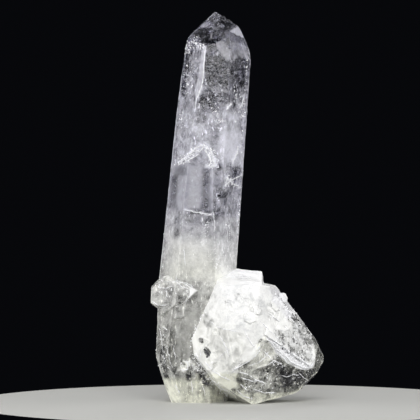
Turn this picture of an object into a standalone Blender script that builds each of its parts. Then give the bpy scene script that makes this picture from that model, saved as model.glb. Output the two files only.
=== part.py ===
"""A Tibetan quartz point with a stubby second crystal grown across its foot.

The whole cluster grew as one piece, so it is one solid: a tall six-sided point that leans to
the right, a chunky frosted crystal over its lower right front, and a small side crystal with
its overgrowth on the lower left.  The foot is cut flat where the cluster grew on rock.

Lengths are millimetres.  X runs to the right, Y away from the front and Z up.  Every crystal
starts as a block and is cleaved, one flat face after another.
"""
import math
import random

import bmesh
import bpy
from mathutils import Matrix, Vector

OBJECT_NAME = "tibetan_quartz"
NODE_NAME = "quartz"
MM = 0.001
BLOCK_SIZE = 260.0
QUARTZ_COLOR = (0.86, 0.88, 0.87, 1.0)
QUARTZ_ROUGHNESS = 0.12
QUARTZ_IOR = 1.544
QUARTZ_CLEARNESS = 0.85

# A face is the way it looks, in degrees round from the front (to the right is positive),
# how far it looks up from level, and one point that it passes through.
POINT_FRONT = ("front", 0, 0.9, (-14.0, -7.4, 29.1))
POINT_LEFT_FRONT = ("left front", -60, 6.0, (-14.0, -7.4, 29.1))
POINT_LEFT_BACK = ("left back", -117, 4.6, (-18.1, -0.4, 29.1))
POINT_RIGHT_FRONT = ("right front", 60, -2.9, (-0.3, 0.9, 30.7))
POINT_RIGHT_BACK = ("right back", 120, -3.9, (-0.3, 0.9, 30.7))
POINT_BACK = ("back", 180, 0.7, (-14.0, 7.8, 29.1))
POINT_PRISM = (
    POINT_FRONT,
    POINT_LEFT_FRONT,
    POINT_LEFT_BACK,
    POINT_RIGHT_FRONT,
    POINT_RIGHT_BACK,
    POINT_BACK,
    ("left front, upper", -60, 8.3, (-9.8, -6.8, 68.8)),
    ("left front edge", -31, 6.6, (-9.9, -6.8, 67.0)),
    ("left back, upper", -117, 6.8, (-14.2, 0.4, 67.2)),
    ("left, lower", -88, 2.0, (-18.7, -1.0, 15.2)),
)
POINT_TIP = (
    ("left", -49, 36.7, (-5.4, 0.5, 89.8)),
    ("left shoulder", -57, 20.0, (-11.0, 1.0, 84.6)),
    ("front", 2, 42.3, (-5.4, 0.5, 89.8)),
    ("right", 84, 57.0, (-5.0, 0.5, 89.8)),
    ("right shoulder", 61, 21.0, (0.2, 1.0, 86.4)),
    ("right slope", 59, 10.3, (3.2, 2.4, 79.6)),
    ("tongue", 25, 13.6, (-2.9, -6.6, 78.2)),
    ("back left", -139, 37.6, (-5.4, 0.5, 89.8)),
    ("back", 180, 36.0, (-5.4, 0.5, 89.8)),
    ("back right", 119, 23.8, (3.1, 2.4, 79.6)),
)
POINT_FOOT = (
    ("left", -90, -17.0, (-17.6, -2.0, 6.5)),
    ("left, low", -88, -22.0, (-16.2, -3.0, 2.2)),
    ("left front, low", -48, -20.0, (-14.8, -6.6, 4.6)),
    ("front, low", -3, -14.0, (-12.0, -7.8, 6.2)),
    ("back, low", 168, -12.0, (-10.0, 8.0, 6.0)),
)

SECOND_WHITE = ("white front", 4, 21.0, (0.5, -12.6, 22.5))
SECOND_PALE = ("below the strip", -35, -1.0, (-6.9, -11.6, 14.5))
SECOND_SLOPE = ("upper right", 46, 12.0, (9.2, -9.0, 17.2))
SECOND_CLEAR = ("lower right", 32, -17.0, (7.0, -11.2, 10.2))
SECOND_BACK = ("back", 170, 6.0, (6.0, 4.4, 14.0))
SECOND_BODY = (
    SECOND_WHITE,
    SECOND_PALE,
    SECOND_SLOPE,
    SECOND_CLEAR,
    SECOND_BACK,
    ("left strip", -46, 15.0, (-3.1, -11.2, 26.8)),
    ("left", -82, 23.5, (-9.0, -9.0, 18.0)),
    ("top", 1, 72.5, (0.5, -5.8, 28.6)),
    ("top back", 155, 35.0, (-0.3, 0.6, 30.7)),
    ("below the front", 4, 7.6, (-0.2, -14.6, 15.7)),
    ("bright bevel", 18, 2.0, (2.4, -14.4, 13.9)),
    ("right strip", 60, 0.0, (17.4, -2.8, 11.0)),
    ("left, lower", -82, -7.0, (-10.2, -9.0, 13.0)),
    ("under left", -75, -36.0, (-7.4, -9.0, 7.7)),
    ("under left, low", -70, -58.0, (-3.2, -9.2, 3.5)),
    ("under front", -6, -30.0, (-3.2, -13.8, 7.4)),
    ("under right", 84, -46.0, (16.0, 0.0, 4.4)),
    ("bottom right", 84, -76.0, (10.7, -2.0, 1.5)),
    ("right, low", 85, -27.0, (19.2, 0.0, 8.3)),
    ("right, high", 85, 28.0, (18.3, 0.0, 13.2)),
    ("right slope", 80, 35.0, (13.0, -2.0, 20.1)),
    ("shoulder", 78, 42.0, (10.2, -3.0, 25.1)),
    ("back right", 128, 4.0, (19.0, 2.6, 11.0)),
)
# The step at the top of the second crystal: its cap stands to the left of it.
SECOND_STEP = (
    ("against the cap", -94, -8.0, (5.5, -5.0, 28.5)),
    ("on the shoulder", -96, -78.0, (8.0, -4.0, 26.7)),
)
# A frosted strip along the lower edge of the upper right slope; it stands proud of it.
SECOND_PLATE = (
    ("outer face", 46, 12.0, (9.5, -9.4, 17.3)),
    ("inner face", -134, -12.0, (8.7, -8.6, 17.0)),
    ("rim", -24, -58.0, (10.3, -8.6, 12.2)),
    ("upper side", 150, 62.0, (10.9, -7.4, 14.4)),
    ("left end", -70, 30.0, (6.2, -13.0, 16.6)),
    ("right end", 76, -20.0, (17.0, -3.0, 8.6)),
)

SIDE_CRYSTAL = (
    ("left", -88, 3.0, (-19.95, -2.0, 24.0)),
    ("upper left", -85, 42.0, (-19.6, -2.5, 26.3)),
    ("lower left", -85, -50.0, (-19.4, -2.5, 22.3)),
    ("front", -38, 6.0, (-18.2, -4.8, 25.0)),
    ("upper front", -35, 45.0, (-17.6, -4.5, 27.0)),
    ("lower front", -30, -48.0, (-17.8, -5.0, 22.3)),
    ("top", -60, 80.0, (-17.5, -3.0, 27.9)),
    ("bottom", 0, -80.0, (-17.5, -3.5, 21.6)),
    ("back", 150, 0.0, (-18.0, 1.0, 25.0)),
    ("inner end", 90, 0.0, (-14.0, -3.0, 25.0)),
)
OVERGROWTH = (
    ("front", -4, 5.0, (-12.0, -8.5, 24.5)),
    ("left front", -52, 4.0, (-15.4, -6.9, 24.5)),
    ("upper left", -20, 60.0, (-15.4, -6.6, 27.8)),
    ("upper right", 48, 50.0, (-11.9, -8.4, 26.9)),
    ("lower right", 62, -40.0, (-11.0, -8.4, 24.3)),
    ("lower front", -10, -52.0, (-14.6, -8.4, 22.6)),
    ("back", 180, 0.0, (-14.0, -4.0, 24.0)),
    ("left end", -100, 0.0, (-17.6, -4.0, 24.0)),
)
OVERGROWTH_LEDGE = (
    ("front", -2, 2.5, (-12.6, -8.1, 22.0)),
    ("left front", -56, 3.0, (-15.0, -6.9, 22.0)),
    ("right", 78, 2.0, (-12.3, -8.0, 22.0)),
    ("top", 0, 80.0, (-13.0, -7.5, 25.0)),
    ("lower front", 20, -60.0, (-13.6, -8.0, 19.6)),
    ("back", 180, 0.0, (-14.0, -4.0, 22.0)),
    ("left end", -100, 0.0, (-17.6, -4.0, 22.0)),
)

GROWN_ON = {
    "second_body": SECOND_BODY,
    "second_plate": SECOND_PLATE,
    "side_crystal": SIDE_CRYSTAL,
    "overgrowth": OVERGROWTH,
    "overgrowth_ledge": OVERGROWTH_LEDGE,
}

# A shallow growth window in the front face of the point, as seen from the front (x, z).
WINDOW_OUTLINE = (
    (-14.0, 44.0), (-12.2, 44.1), (-9.1, 43.6), (-6.3, 43.1), (-5.8, 43.5), (-5.8, 53.6), (-5.0, 54.1),
    (-5.4, 55.5), (-6.1, 57.4), (-7.0, 58.0), (-8.4, 58.7), (-10.2, 57.4), (-11.8, 56.2), (-14.0, 54.8),
)
WINDOW_FLOOR = -6.75
WINDOW_OPEN = -12.0

# Broken hollows: the face, its middle as seen from the front (x, z), its radii along the face,
# up it and into it, and its turn on the face.
HOLLOWS = (
    ("second_hollow", SECOND_CLEAR, (7.2, 12.6), (3.6, 2.2, 1.2), -30),
    ("second_crescent", SECOND_CLEAR, (5.6, 7.6), (3.4, 1.3, 0.9), 12),
    ("second_ripple", SECOND_CLEAR, (11.0, 7.2), (2.6, 1.8, 0.8), 40),
    ("dark_pit", SECOND_PALE, (-7.0, 11.9), (0.6, 1.1, 1.4), 15),
    ("small_pit", SECOND_PALE, (-8.3, 14.0), (0.4, 0.5, 0.9), 0),
    ("foot_pit", POINT_FRONT, (-12.4, 8.6), (0.7, 1.0, 0.8), 8),
    ("foot_hollow", POINT_FRONT, (-8.2, 5.6), (1.5, 1.9, 1.1), -30),
    ("low_hollow", POINT_FRONT, (-11.4, 6.0), (0.7, 0.9, 0.8), 0),
    ("left_hollow", POINT_LEFT_FRONT, (-17.4, 9.6), (1.2, 3.0, 0.8), 8),
    ("edge_notch", POINT_RIGHT_FRONT, (2.9, 79.2), (0.7, 0.35, 0.5), 0),
    ("shoulder_notch", SECOND_SLOPE, (12.2, 23.4), (1.2, 0.7, 1.6), 20),
    ("slope_notch", SECOND_SLOPE, (14.2, 20.0), (1.0, 0.6, 1.6), 30),
    ("back_hollow", POINT_BACK, (-10.0, 14.0), (2.6, 3.6, 0.9), 15),
    ("back_chip", SECOND_BACK, (8.0, 9.0), (3.4, 2.4, 1.1), -20),
)

# A hollow's ball is tumbled and its middle stands a little proud of the face.
HOLLOW_LIFT = 0.17
HOLLOW_TUMBLE = 0.4
HOLLOW_AXIS = (3, 1, 2)

# Frosted faces: the middle as seen from the front (x, z), how far the pits reach across and up,
# and how many pits there are.
FROSTED = (
    (SECOND_SLOPE, (11.2, 19.4), (4.2, 3.6), 24),
    (SECOND_WHITE, (0.6, 22.2), (3.4, 3.2), 10),
    (SECOND_PALE, (-7.2, 12.6), (2.2, 4.6), 10),
    (SECOND_CLEAR, (12.0, 6.4), (4.0, 2.2), 8),
    (SECOND_BACK, (10.5, 14.0), (4.0, 5.5), 14),
)
PIT_SIZE = (0.3, 0.8)
PIT_DEPTH = 0.45
PIT_SEED = 11

# Low growth plates: the middle as seen from the front (x, z), the radius and the thickness.
PLATES = (
    (SECOND_WHITE, (2.6, 19.8), 1.7, 0.35),
    (SECOND_WHITE, (4.1, 21.4), 1.2, 0.3),
    (SECOND_SLOPE, (8.4, 22.4), 1.6, 0.3),
    (SECOND_SLOPE, (12.2, 19.6), 1.5, 0.35),
    (SECOND_SLOPE, (10.4, 24.0), 1.2, 0.3),
    (SECOND_SLOPE, (14.8, 16.6), 1.4, 0.4),
    (SECOND_PALE, (-6.4, 8.8), 1.3, 0.35),
    (SECOND_BACK, (2.8, 17.0), 2.0, 0.4),
)
PLATE_SIDES = 6
PLATE_TURN = 23.0


def facing(azimuth, rise):
    """The outward direction of a face."""
    turn, tilt = math.radians(azimuth), math.radians(rise)
    level = math.cos(tilt)
    return Vector((math.sin(turn) * level, -math.cos(turn) * level, math.sin(tilt)))


def new_collection(name):
    collection = bpy.data.collections.new(name)
    bpy.context.scene.collection.children.link(collection)
    return collection


def quartz_material():
    """Clear to milky quartz."""
    material = bpy.data.materials.new("clear_quartz")
    material.use_nodes = True
    shader = material.node_tree.nodes["Principled BSDF"]
    shader.inputs["Base Color"].default_value = QUARTZ_COLOR
    shader.inputs["Roughness"].default_value = QUARTZ_ROUGHNESS
    shader.inputs["Metallic"].default_value = 0.0
    shader.inputs["IOR"].default_value = QUARTZ_IOR
    shader.inputs["Transmission Weight"].default_value = QUARTZ_CLEARNESS
    return material


def add_object(name, mesh, collection, holder):
    """Turn a bmesh into an object that hangs on the holder."""
    bmesh.ops.recalc_face_normals(mesh, faces=mesh.faces)
    data = bpy.data.meshes.new(name)
    mesh.to_mesh(data)
    mesh.free()
    body = bpy.data.objects.new(name, data)
    collection.objects.link(body)
    body.parent = holder
    return body


def add_tool(name, mesh, collection, holder):
    """A body that is only joined to the cluster or cut out of it."""
    tool = add_object(name, mesh, collection, holder)
    tool.display_type = "WIRE"
    tool.hide_render = True
    return tool


def cleave(mesh, faces):
    """Split the block along each face in turn and keep the inner side."""
    for _, azimuth, rise, through in faces:
        geometry = mesh.verts[:] + mesh.edges[:] + mesh.faces[:]
        split = bmesh.ops.bisect_plane(mesh, geom=geometry, dist=1e-7, clear_outer=True,
                                       plane_co=Vector(through) * MM,
                                       plane_no=facing(azimuth, rise))
        rim = [item for item in split["geom_cut"] if isinstance(item, bmesh.types.BMEdge)]
        if rim:
            bmesh.ops.contextual_create(mesh, geom=rim)


def block(faces):
    """A block of crystal cleaved to the given faces."""
    mesh = bmesh.new()
    bmesh.ops.create_cube(mesh, size=BLOCK_SIZE * MM)
    cleave(mesh, faces)
    return mesh


def lying_on(face, x, z, turn=0.0):
    """The place of a shape at x and z on a face, its own Z along the face's outward direction."""
    _, azimuth, rise, through = face
    outward = facing(azimuth, rise)
    ahead = outward.x * (x - through[0]) + outward.z * (z - through[2])
    middle = Vector((x, through[1] - ahead / outward.y, z))
    across = Vector((0, 0, 1)).cross(outward).normalized()
    turned = Matrix((across, outward.cross(across), outward)).transposed().to_4x4()
    return Matrix.Translation(middle * MM) @ turned @ Matrix.Rotation(math.radians(turn), 4, "Z")


def hollow(face, seen, radii, turn):
    """A rounded chip out of a face."""
    mesh = bmesh.new()
    place = lying_on(face, *seen, turn) @ Matrix.Diagonal([radius * MM for radius in radii] + [1.0])
    place = place @ Matrix.Translation((0, 0, HOLLOW_LIFT))
    place = place @ Matrix.Rotation(HOLLOW_TUMBLE, 4, HOLLOW_AXIS)
    bmesh.ops.create_icosphere(mesh, subdivisions=2, radius=1.0, matrix=place)
    return mesh


def pit(face, seen, reach, chance):
    """One angular little pit, somewhere on a frosted face."""
    mesh = bmesh.new()
    x, z = [middle + chance.uniform(-far, far) for middle, far in zip(seen, reach)]
    size = chance.uniform(*PIT_SIZE) * MM
    longer = chance.uniform(1.0, 1.9)
    tumble = Matrix.Rotation(chance.uniform(0, math.tau), 4, Vector((1.0, chance.random(), 0.3)))
    place = lying_on(face, x, z, chance.uniform(0, 360))
    place = place @ Matrix.Diagonal((size * longer, size, size * PIT_DEPTH, 1.0))
    place = place @ Matrix.Translation((0, 0, HOLLOW_LIFT)) @ tumble
    bmesh.ops.create_icosphere(mesh, subdivisions=1, radius=1.0, matrix=place)
    return mesh


def plate(face, seen, radius, thickness, turn):
    """A thin six-sided plate that lies on a face, half sunk in it."""
    mesh = bmesh.new()
    bmesh.ops.create_cone(mesh, cap_ends=True, segments=PLATE_SIDES, radius1=1.15 * radius * MM,
                          radius2=0.85 * radius * MM, depth=2 * thickness * MM,
                          matrix=lying_on(face, *seen, turn))
    return mesh


def window():
    """The shallow window cut into the front face of the point."""
    mesh = bmesh.new()
    corners = [mesh.verts.new(Vector((x, WINDOW_FLOOR, z)) * MM) for x, z in WINDOW_OUTLINE]
    floor = mesh.faces.new(corners)
    grown = bmesh.ops.extrude_face_region(mesh, geom=[floor])
    opened = [item for item in grown["geom"] if isinstance(item, bmesh.types.BMVert)]
    bmesh.ops.translate(mesh, verts=opened, vec=(0, (WINDOW_OPEN - WINDOW_FLOOR) * MM, 0))
    return mesh


def foot_cut():
    """A slab that takes away everything under the flat foot."""
    mesh = bmesh.new()
    half = BLOCK_SIZE / 2
    bmesh.ops.create_cube(mesh, size=BLOCK_SIZE * MM, matrix=Matrix.Translation((0, 0, -half * MM)))
    return mesh


def combine(body, tools, operation):
    """Join the tools to a body, or cut them out of it, one at a time."""
    for tool in tools:
        change = body.modifiers.new(tool.name, "BOOLEAN")
        change.operation = operation
        change.object = tool
        change.solver = "EXACT"


def stand_on_foot(body, holder):
    """Move the holder so that the cluster's box is centred over the origin."""
    bpy.context.view_layer.update()
    shape = body.evaluated_get(bpy.context.evaluated_depsgraph_get()).to_mesh()
    across = [vertex.co.x for vertex in shape.vertices]
    deep = [vertex.co.y for vertex in shape.vertices]
    holder.location.x = -(min(across) + max(across)) / 2
    holder.location.y = -(min(deep) + max(deep)) / 2


def main():
    for leftover in list(bpy.data.objects):
        bpy.data.objects.remove(leftover)
    parts = new_collection(OBJECT_NAME)
    grown = new_collection("grown_on")
    cuts = new_collection("cut_away")
    shaping = new_collection("shaping")
    holder = bpy.data.objects.new("cluster", None)
    parts.objects.link(holder)

    quartz = add_object(NODE_NAME, block(POINT_PRISM + POINT_TIP + POINT_FOOT), parts, holder)
    quartz.data.materials.append(quartz_material())
    for name, faces in GROWN_ON.items():
        add_tool(name, block(faces), grown, holder)
    step = add_tool("second_step", block(SECOND_STEP), shaping, holder)
    combine(bpy.data.objects["second_body"], [step], "DIFFERENCE")
    for number, (face, seen, radius, thickness) in enumerate(PLATES):
        add_tool("plate", plate(face, seen, radius, thickness, PLATE_TURN * number), grown, holder)

    add_tool("foot_cut", foot_cut(), cuts, holder)
    add_tool("window", window(), cuts, holder)
    for name, face, seen, radii, turn in HOLLOWS:
        add_tool(name, hollow(face, seen, radii, turn), cuts, holder)
    chance = random.Random(PIT_SEED)
    for face, seen, reach, count in FROSTED:
        for _ in range(count):
            add_tool("pit", pit(face, seen, reach, chance), cuts, holder)

    combine(quartz, grown.objects, "UNION")
    combine(quartz, cuts.objects, "DIFFERENCE")
    stand_on_foot(quartz, holder)


main()
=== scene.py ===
"""Looks of a Tibetan quartz point with a frosted second crystal grown across its foot."""
import math

import bmesh
import bpy
import numpy as np
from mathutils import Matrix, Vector


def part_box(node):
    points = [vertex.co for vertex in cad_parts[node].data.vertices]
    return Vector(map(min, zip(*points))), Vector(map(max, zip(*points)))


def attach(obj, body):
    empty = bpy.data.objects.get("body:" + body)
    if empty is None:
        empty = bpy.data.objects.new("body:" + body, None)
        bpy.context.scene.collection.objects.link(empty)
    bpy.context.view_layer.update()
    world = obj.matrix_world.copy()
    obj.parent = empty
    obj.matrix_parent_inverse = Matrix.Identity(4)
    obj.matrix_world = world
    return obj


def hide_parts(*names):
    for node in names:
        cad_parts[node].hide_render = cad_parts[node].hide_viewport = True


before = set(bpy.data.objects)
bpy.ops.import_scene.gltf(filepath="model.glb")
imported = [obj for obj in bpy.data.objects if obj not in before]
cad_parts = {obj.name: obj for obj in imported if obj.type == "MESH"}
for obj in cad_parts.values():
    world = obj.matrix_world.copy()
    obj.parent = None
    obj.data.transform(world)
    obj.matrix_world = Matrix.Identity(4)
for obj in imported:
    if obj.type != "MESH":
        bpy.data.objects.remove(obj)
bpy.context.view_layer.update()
MM = 0.001


# The camera stands level with the middle of the cluster, far enough away for a long lens.
CAMERA_PLACE = (-6.3, -596.4, 44.1)
SENSOR_WIDTH = 36.0
SEEN_WIDTH = 96.94
SEEN_FROM = 600.0


def placed(name, data):
    """A new object with that name and data, in the scene."""
    thing = bpy.data.objects.new(name, data)
    bpy.context.scene.collection.objects.link(thing)
    return thing


camera_data = bpy.data.cameras.new("camera")
camera_data.sensor_width = SENSOR_WIDTH
camera_data.lens = SENSOR_WIDTH * SEEN_FROM / SEEN_WIDTH
camera = placed("camera", camera_data)
camera.location = Vector(CAMERA_PLACE) * MM
camera.rotation_euler = (math.radians(90), 0, 0)
bpy.context.scene.camera = camera


# The stage: a small pale round floor in a dark room.
FLOOR_RADIUS = 62.0
FLOOR_SIDES = 96
FLOOR_COLOR = (0.50, 0.50, 0.48, 1.0)
FLOOR_ROUGHNESS = 0.6
ROOM_COLOR = (0.0022, 0.0024, 0.0032, 1.0)


def plain(name, color, roughness):
    """A finish of one colour and roughness."""
    finish = bpy.data.materials.new(name)
    finish.use_nodes = True
    shader = finish.node_tree.nodes["Principled BSDF"]
    shader.inputs["Base Color"].default_value = color
    shader.inputs["Roughness"].default_value = roughness
    return finish


around = np.linspace(0, 2 * np.pi, FLOOR_SIDES, endpoint=False)
rim = np.stack((np.cos(around), np.sin(around), np.zeros_like(around)), axis=1) * FLOOR_RADIUS * MM
floor_mesh = bpy.data.meshes.new("floor")
floor_mesh.from_pydata(rim.tolist(), [], [list(range(len(rim)))])
floor = placed("floor", floor_mesh)
floor_mesh.materials.append(plain("pale_floor", FLOOR_COLOR, FLOOR_ROUGHNESS))

room = bpy.data.worlds.new("room")
room.use_nodes = True
room.node_tree.nodes["Background"].inputs["Color"].default_value = ROOM_COLOR
bpy.context.scene.world = room
bpy.context.scene.view_settings.view_transform = "Standard"


# Soft boxes: where each stands, what it is aimed at, its width and height, and how bright it is.
LIGHTS = {
    "left": ((-320, -80, 90), (0, 0, 45), (420, 380), 1.8),
    "right": ((320, -80, 90), (0, 0, 40), (420, 380), 1.8),
    "top": ((-10, -230, 370), (0, 0, 30), (340, 180), 4.3),
    "back": ((0, 260, 330), (0, 0, 30), (300, 180), 2.6),
    "front": ((-40, -480, 260), (0, 0, 30), (460, 320), 3.7),
}
for name, (place, aim, size, bright) in LIGHTS.items():
    lamp = bpy.data.lights.new(name, "AREA")
    lamp.shape = "RECTANGLE"
    lamp.size, lamp.size_y = (side * MM for side in size)
    lamp.energy = bright * math.pi * lamp.size * lamp.size_y
    holder = placed(name, lamp)
    holder.location = Vector(place) * MM
    holder.rotation_euler = (Vector(place) - Vector(aim)).to_track_quat("Z", "Y").to_euler()
    holder.visible_camera = False


# The quartz: a tall point of rock crystal with a second and a small side crystal, grown together
# as one body of silica. It is clear at the tip, milky towards the foot, and stands on its foot.
# Its faces are cut into cells this wide, for marks to be painted on and carved in. The first cut
# is a share of a cell in, after corners in one place and faces as flat as this are merged.
CELL = 0.42
FIRST_CUT = 0.37
MERGED_WITHIN = 1e-7
CUT_WITHIN = 1e-8
FLAT_DEGREES = 0.05
# Noise comes from a lattice of this many random values a side, entered away from its corner.
LATTICE = 32
LATTICE_ENTRY = 100.0
# The point's own six sides, to tell its surface from that of the crystals that grew on it:
# degrees round from the front, degrees up from level, and a place on each.
POINT_SIDES = (
    (0, 0.9, (-13.88, -3.8, 29.1)),
    (-60, 6.0, (-13.88, -3.8, 29.1)),
    (-117, 4.6, (-17.98, 3.2, 29.1)),
    (60, -2.9, (-0.18, 4.5, 30.7)),
    (120, -3.9, (-0.18, 4.5, 30.7)),
    (180, 0.7, (-13.88, 11.4, 29.1)),
)
# How far outside those sides another crystal starts, and surely is; the others' top; and where
# across the side crystal ends and the second one begins.
OUTSIDE_POINT = (0.05, 0.4)
OTHERS_TOP = 31.5
CRYSTALS_MEET = -11.0
# Edges sharper than this many degrees are worn, and whitened as wear and as painted highlights.
SHARP_EDGE = 14
# How much of a face's direction points forwards where it starts to be a front face and where it
# surely is one; the same backwards; and from square-on to aslant.
TO_FRONT = (-0.05, 0.15)
TO_BACK = (-0.1, 0.3)
ASLANT = (0.95, 0.6)
# Growth streaks are noise, drawn out along the axes where these are small: upright on the point,
# nearly level on the cap, and down the second crystal's right slope, which faces there (x, z).
UPRIGHT_STREAKS = (1.8, 1.8, 0.22)
LEVEL_STREAKS = (0.12, 0.12, 1.5)
LEVEL_TILT = (0.0, 0.0, 0.12)
SLOPING_STREAKS = (1.4, 0.2, 0.22)
SLOPE_FACES = (0.78, 0.62)
SLOPE_STARTS = (15.0, 19.0)
CAP_STARTS = (27.2, 28.0)
# The point's mist: at its clearest, where a face is aslant, and what is added from one height to
# another (start, end, added). Its drifts: strength, size and seed; and the strength of upright
# ones, with what the foot adds.
MIST = 0.10
MIST_ASLANT = 0.16
MIST_BY_HEIGHT = ((80.5, 83.5, -0.16), (72, 55, 0.10), (44, 30, 0.12), (22, 12, -0.10))
MIST_DRIFTS = ((0.30, 7.0, 1), (0.25, 2.6, 2))
UPRIGHT_DRIFTS = 0.12
FOOT_DRIFTS = 0.22
FOOT = (22, 14)
# The second crystal's whiteness: plain, how uneven, along the cap's and the slope's streaks, and
# what its back lacks.
WHITE = 0.90
WHITE_UNEVEN = 0.12
WHITE_SIZE = 2.0
WHITE_CAP = 0.30
WHITE_SLOPE = 0.45
WHITE_BACK = 0.38
# How grey it is: everywhere, on the brightest front, in the streaks and where it is mottled.
GREY = 0.05
GREY_FRONT = 0.18
GREY_STREAKS = 0.15
GREY_MOTTLED = 0.16
BRIGHTEST_SOFT = 3.0
# Frost (the glass's roughness) of the point, and what the second and the side crystal add.
FROST = 0.05
FROST_SECOND = 0.35
FROST_SIDE = 0.25
# The warm tint grows between these heights, to this much, and is weaker on the second crystal.
WARM_HEIGHTS = (56, 20)
WARMEST = 0.65
WARM_LOST = 0.15
# Mottling of the back: everywhere, on the second crystal, and near the foot.
MOTTLED_BACK = 0.25
MOTTLED_SECOND = 0.7
MOTTLED_FOOT = 0.5
MOTTLED_HEIGHTS = (26, 12)
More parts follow.
